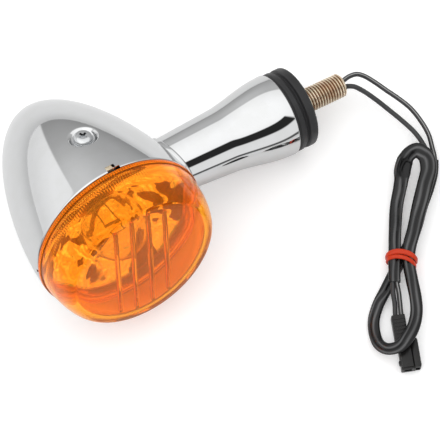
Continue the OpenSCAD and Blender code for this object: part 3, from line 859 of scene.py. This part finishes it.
def screw():
    """A pan-head screw with a crossed recess."""
    def upright(h, r, a):
        return lamp((r * math.sin(a), SCREW_Y + r * math.cos(a), h))
    top = HEAD_Z + HEAD_H
    dome = [(HEAD_Z + 0.75 + (HEAD_H - 0.75) * math.sin(math.radians(a)),
             1.3 + (HEAD_R - 1.3) * math.cos(math.radians(a)) ** 0.75) for a in range(0, 86, 6)]
    profile = ([(22.6, 0), (22.6, 1.5), (23.1, 1.95), (HEAD_Z, 1.95), (HEAD_Z, HEAD_R - 0.15),
                (HEAD_Z + 0.15, HEAD_R)] + dome + [(top, 1.2), (top, 0)])
    head = lathe("screw_head", profile, upright, M["screw_chrome"], steps=72, sharp=40)
    for turn in (math.radians(20), math.radians(110)):
        ca, sa = math.cos(turn), math.sin(turn)

        def arm(p, ca=ca, sa=sa):
            narrow = 1 - 0.45 * smooth((top - p.z) / 1.7)
            x, y = p.x * narrow, p.y * (0.75 + 0.25 * narrow)
            return lamp((x * ca - y * sa, SCREW_Y + x * sa + y * ca, p.z))
        cut(head, block("arm", (-2.05, -0.5, top - 1.5), (2.05, 0.5, top + 1), arm,
                        M["screw_chrome"]))
    resmooth(head, 32)
    place(head, "screw", "screw_chrome", "housing_screw")


screw()

# ------------------------------------------------------------------ lens, reflector, bulb
LENS_H, FACE_R, LENS_WALL, SKIRT_R, FLANGE_H = 19.5, 29.6, 2.0, 33.4, 2.0
SIDE_R = RIM_R - 0.6
FLUTES, PER_FLUTE, FLUTE_DEEP = 190, 4, 0.5
RIB_STEP, RIB_REACH = 7.2, 25.6


def lens_side(a, wall=0.0):
    """(height in front of the rim, radius) on the lens's side, 0 to 90 degrees."""
    s, c = math.sin(math.radians(a)), math.cos(math.radians(a))
    r = FACE_R - 1 + (SIDE_R - FACE_R + 1) * c ** 0.8
    h = FLANGE_H + (LENS_H - FLANGE_H) * s ** 1.15
    return h - wall * smooth(h / LENS_H * 2 - 0.6), r - wall


def lens():
    """The amber lens: a fluted wall, a lip at the rim, and four ribs inside its face."""
    face = lambda r, h: (h + 0.9 * (1 - (r / (FACE_R - 1)) ** 2.2), r)
    outside = rounded([(0.35, 34.2), (0.35, RIM_R, 0.3), (FLANGE_H, RIM_R, 0.5),
                       (FLANGE_H, SIDE_R + 0.1, 0.1)] + [lens_side(4)], 4)[:-1]
    outside += [lens_side(a) for a in [2, 4] + list(range(6, 85, 4))]
    outside += [face(r, LENS_H) for r in (28.2, 26, 22, 18, 14, 10, 6, 2.5)]
    inside = [face(r, LENS_H - LENS_WALL) for r in (2.5, 6, 10, 14, 18, 22, 25.4)]
    inside += [lens_side(a, LENS_WALL) for a in range(80, 1, -6)]
    inside += [(0.5, SKIRT_R - 1.6), (-3.0, SKIRT_R - 1.6), (-3.0, SKIRT_R - 0.2),
               (-2.8, SKIRT_R), (0.2, SKIRT_R), (0.35, SKIRT_R + 0.2)]
    body = outside + inside
    steps, rows, split = FLUTES * PER_FLUTE, len(body), len(outside)
    verts = []
    for i in range(steps):
        tooth = abs((i % PER_FLUTE) / PER_FLUTE * 2 - 1) - 0.5
        for j, (h, r) in enumerate(body):
            if j >= split and h > 0.3:
                r += tooth * FLUTE_DEEP * (1 - smooth((h - 3.9) / 1.4))
            verts.append(about_nose(-h, r, TAU * i / steps))
    faces = [f for f in grid_faces(steps, rows, ring=True) if f[0] % rows != split - 1]
    for j, h in ((split - 1, LENS_H + 0.9), (split, LENS_H - LENS_WALL + 0.9)):
        verts.append(about_nose(-h, 0, 0))
        faces += [(len(verts) - 1, i * rows + j, (i + 1) % steps * rows + j) for i in range(steps)]
    # Painted shade: a dark line along the step where the lip meets the side.
    edge = [float(j < split and abs(h - FLANGE_H) < 0.5 and SIDE_R - 0.5 < r < RIM_R - 0.3)
            for j, (h, r) in enumerate(body)] * steps + [0.0, 0.0]
    obj = make("lens_amber", verts, faces, M["amber_lens"], sharp=30, values={"edge": edge})
    for k in (-1.5, -0.5, 0.5, 1.5):
        x = k * RIB_STEP
        half = math.sqrt(RIB_REACH ** 2 - x ** 2)
        rib = block("rib", (x - 0.65, -18.6, -half), (x + 0.65, -16.2, half), lamp,
                    M["amber_lens"], bevel=0.2)
        cut(obj, rib, "UNION")
    resmooth(obj, 30)
    place(obj, "lens", "amber_lens", "lens")


def reflector():
    """A metallised bowl of flat facets."""
    around, deep, r_in, r_out = 30, 16.0, 9.4, 31.0
    bowl = lambda r: 3.2 + deep * (1 - (r / 31.0) ** 2)
    rings = [r_in + (r_out - r_in) * k / 6 for k in range(7)]
    front = [(bowl(r), r) for r in rings]
    profile = front + [(3.2, 33.3), (4.2, 33.3), (4.2, 31.6)] + [
        (bowl(r) + 1.2, r + 0.4) for r in reversed(rings[3:-1])] + [(18.2, 13.0), (18.2, 9.4)]
    obj = lathe("reflector_facets", profile, about_nose, M["mirror_metal"], steps=around,
                closed=True, flat=True)
    place(obj, "housing", "mirror_metal", "reflector")


def bulb():
    """The bulb's hollow glass, and its filament on two posts and a stem."""
    r, y = 12.5, 2.0
    arc = [(y - r * math.sin(math.radians(a)), r * math.cos(math.radians(a)))
           for a in range(90, -51, -6)]
    thin = [(y - (r - 0.6) * math.sin(math.radians(a)), (r - 0.6) * math.cos(math.radians(a)))
            for a in range(-50, 91, 7)]
    profile = [(arc[0][0], 0)] + arc[1:] + [(14.5, 6.9), (16.2, 6.6), (18, 6.6), (18, 6.0),
                                            (16.2, 6.0)] + thin[:-1] + [(y - r + 0.6, 0)]
    glass = lathe("bulb_envelope", profile, about_nose, M["bulb_glass"], steps=72, sharp=50)
    place(glass, "bulb", "bulb_glass", "bulb_glass")
    parts = []
    for x in (-3, 3):
        post = [lamp((x * (1 - 0.35 * k / 6), 2.6 + 18.5 * k / 6, 0)) / MM for k in range(7)]
        parts.append(sweep("post", post, lambda i: circle(0.3, 10), M["filament"]))
    coil = [lamp((-3.3 + 6.6 * k / 160, 3 + 0.55 * math.sin(k * 0.75), 0.55 * math.cos(k * 0.75)))
            / MM for k in range(161)]
    parts.append(sweep("coil", coil, lambda i: circle(0.16, 6), M["filament"]))
    parts.append(lathe("stem", [(20, 0), (20, 2.5), (21, 3.4), (21.5, 5.7), (25, 5.7), (25, 0)],
                       about_nose, M["filament"], steps=32))
    place(join("bulb_filament_coil", parts), "bulb", "filament", "bulb_filament")


def spring():
    """The contact spring, built as a fixed coil; the real spring shortens as the bulb pushes its disc back."""
    turns, first, last = 4, 36.67, 41.03
    steps = turns * 24
    line = [about_nose(first + (last - first) * smooth(i / steps), 4.6,
                       TAU * (0.25 + turns * i / steps)) / MM for i in range(steps + 1)]
    coil = sweep("contact_coil", line, lambda i: circle(0.45, 10), M["steel"], sharp=50)
    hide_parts("contact_spring")
    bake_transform(coil)


lens()
reflector()
bulb()
spring()

# ------------------------------------------------------------------ rubber band, connector
BAND_AT = Vector((58.6, -76.0, 4.97))
BAND_TURN = math.radians(145)


def band():
    """A rubber band wound twice round the sleeve, its turns side by side and sagging a
    little towards the plug at both ends."""
    axis = Vector((math.sin(BAND_TURN), -math.cos(BAND_TURN), 0))
    across = Vector((math.cos(BAND_TURN), math.sin(BAND_TURN), 0))
    up = Vector((0, 0, 1))
    sag = 1.6
    loops = []
    for shift, tilt, wide, thick, half_w, half_h in (
            (-1.15, 0.13, 1.75, 1.2, 5.6, 4.35), (1.0, 0.06, 2.25, 1.5, 5.8, 4.5)):
        steps, verts, section = 96, [], 14
        for i in range(steps):
            a = TAU * i / steps
            c, s = math.cos(a), math.sin(a)
            out = Vector((bulge(c, 0.55) * half_w, bulge(s, 0.74) * half_h))
            normal = Vector((c / half_w, s / half_h)).normalized()
            for k in range(section):
                b = TAU * k / section
                side = bulge(math.cos(b), 0.9) * wide / 2
                lift = bulge(math.sin(b), 0.9) * thick / 2
                p = out + normal * lift
                along = shift + side + tilt * p.x - sag * (out.x / half_w) ** 2
                verts.append(row(BAND_AT + across * p.x + up * p.y + axis * along))
        faces = []
        for i in range(steps):
            for k in range(section):
                j, kk = (i + 1) % steps, (k + 1) % section
                faces.append((i * section + k, j * section + k,
                              j * section + kk, i * section + kk))
        loops.append(make("turn", verts, faces, M["red_band"], sharp=60))
    place(join("band_turns", loops), "housing", "red_band", "rubber_band")


def connector():
    """A small two-way plug: a slim ribbed grip and a wider shroud in a low and a high half,
    with an open cavity in each. A latch arm lies on the low half."""
    low, high = 4.6, 6.2

    def solid(name, lo, hi, bevel):
        return block(name, lo, hi, plug, M["black_plastic"], bevel)
    body = solid("grip", (0, -3, 0), (GRIP_L + 1, 2.5, 5.0), 0.45)
    cut(body, solid("low_half", (GRIP_L, -2.4, 0), (PLUG_L, 3.4, low), 0.35), "UNION")
    cut(body, solid("high_half", (GRIP_L, 2.7, 0), (PLUG_L, 5.6, high), 0.8), "UNION")
    for i in range(5):
        x = 1.3 + 1.5 * i
        cut(body, solid("rib", (x, -2.6, 4.6), (x + 0.7, 2.1, 5.25), 0.12), "UNION")
    cut(body, solid("key", (18.6, -3.0, 1.6), (20.4, -2, 3.8), 0.25), "UNION")
    for lo, hi in (((-1, -2.3, 1.8), (0.8, 2.2, 4.25)),
                   ((-1, -2.05, 2), (8, -0.55, 4.1)), ((-1, 0.2, 2), (8, 1.7, 4.1)),
                   ((12, -1.4, 1.4), (PLUG_L + 2, 1.7, 3.9)),
                   ((12, 3.2, 1.4), (PLUG_L + 2, 5.0, 4.6))):
        cut(body, solid("hollow", lo, hi, 0.2))
    resmooth(body, 40)
    place(body, "housing", "black_plastic", "connector_housing")
    body.name = "connector_body"
    latch = solid("latch", (14.6, -2.0, 5.0), (21.9, 2.5, 5.8), 0.3)
    cut(latch, solid("root", (14.1, -2.0, 4.62), (15.2, 2.3, 5.76), 0.3), "UNION")
    latch.name = "connector_latch_arm"
    place(latch, "latch", "black_plastic", "connector_latch")
    return body, latch


band()
on_the_end = [*connector(), nodes["connector_terminals"]]

# ------------------------------------------------------------------ stage
FLOOR_EDGE = 0.265


def floor():
    """A pale floor. Polished metal sees only a round of it, with the room beyond."""
    mesh = bpy.data.meshes.new("floor")
    half = 3.0
    mesh.from_pydata([(-half, -half, 0), (half, -half, 0), (half, half, 0), (-half, half, 0)],
                     [], [(0, 1, 2, 3)])
    obj = bpy.data.objects.new("floor", mesh)
    bpy.context.scene.collection.objects.link(obj)
    mat = bpy.data.materials.new("floor")
    mat.use_nodes = True
    tree = mat.node_tree
    shader = tree.nodes["Principled BSDF"]
    shader.inputs["Roughness"].default_value = 0.9
    shader.inputs["Specular IOR Level"].default_value = 0.1
    shader.inputs["Emission Color"].default_value = (1, 1, 1, 1)
    at = put(tree, "ShaderNodeTexCoord").outputs["Object"]
    away = put(tree, "ShaderNodeVectorMath", {0: at}, operation="LENGTH").outputs["Value"]
    beyond = ramp(tree, away, FLOOR_EDGE, FLOOR_EDGE + 0.02)
    glossy = put(tree, "ShaderNodeLightPath").outputs["Is Glossy Ray"]
    tree.links.new(ramp(tree, glossy, 0, 1, 0.22, 0.02), shader.inputs["Emission Strength"])
    mirrored = ramp(tree, away, 0.12, FLOOR_EDGE, 0.82, 0.62)
    darker = calc(tree, "SUBTRACT", mirrored, 0.9)
    gray = calc(tree, "ADD", 0.9, calc(tree, "MULTIPLY", glossy, darker))
    tree.links.new(gray, shader.inputs["Base Color"])
    mix = put(tree, "ShaderNodeMixShader", {
        0: calc(tree, "MULTIPLY", beyond, glossy), 1: shader.outputs[0],
        2: put(tree, "ShaderNodeBsdfTransparent").outputs[0]})
    tree.links.new(mix.outputs[0], tree.nodes["Material Output"].inputs["Surface"])
    mesh.materials.append(mat)


def studio():
    """Soft studio light as a world: bright overhead, a grey wall behind, white cards left and
    in front, and a black flag above the front card. Angles are in degrees."""
    world = bpy.data.worlds.new("studio")
    world.use_nodes = True
    bpy.context.scene.world = world
    tree = world.node_tree
    out = put(tree, "ShaderNodeSeparateXYZ",
              {0: put(tree, "ShaderNodeTexCoord").outputs["Generated"]})
    x, y, z = out.outputs
    up = calc(tree, "MULTIPLY", calc(tree, "ARCSINE", z), 180 / math.pi)
    turn = calc(tree, "MULTIPLY", calc(tree, "ARCTAN2", x, y), 180 / math.pi)

    def span(value, lo, hi, edge):
        inside = ramp(tree, value, lo - edge, lo + edge)
        return calc(tree, "MULTIPLY", inside, ramp(tree, value, hi - edge, hi + edge, 1, 0))

    light = ramp(tree, up, -16, 0, 0.36, 0.54, "LINEAR")
    light = calc(tree, "ADD", light, ramp(tree, up, 0, 24, 0, 0.14, "LINEAR"))
    beside = ramp(tree, turn, -8, 22, 0.2, 0, "LINEAR")
    light = calc(tree, "ADD", light, calc(tree, "MULTIPLY", ramp(tree, up, 0, 20), beside))
    light = calc(tree, "ADD", light, ramp(tree, up, 31, 34.5, 0, 0.55))
    light = calc(tree, "ADD", light, ramp(tree, up, 28, 65, 0, 0.27, "LINEAR"))

    def over(base, mask, value):
        keep = calc(tree, "MULTIPLY", base, calc(tree, "SUBTRACT", 1.0, mask))
        return calc(tree, "ADD", keep, calc(tree, "MULTIPLY", mask, value))

    leaning = calc(tree, "ADD", turn, calc(tree, "MULTIPLY", up, 0.62))
    card = calc(tree, "MULTIPLY", span(leaning, -75, -8.5, 1.2), span(up, -30, 24, 2))
    light = over(light, card, ramp(tree, up, -9, 8, 1.03, 1.22, "LINEAR"))
    behind_front = calc(tree, "ABSOLUTE", turn)
    for masks, value in (
            ([span(behind_front, 140, 200, 4), span(up, -30, -0.5, 1.2)], 0.14),
            ([span(behind_front, 128, 200, 4), span(up, 0, 29, 1.5)], 1.12),
            ([span(behind_front, 138, 200, 3), span(up, 30.5, 52, 1.5)], 0.03)):
        light = over(light, calc(tree, "MULTIPLY", *masks), value)
    tree.nodes["Background"].inputs["Strength"].default_value = 1.0
    tree.links.new(light, tree.nodes["Background"].inputs["Color"])


floor()
studio()
bpy.context.scene.view_settings.view_transform = "Standard"
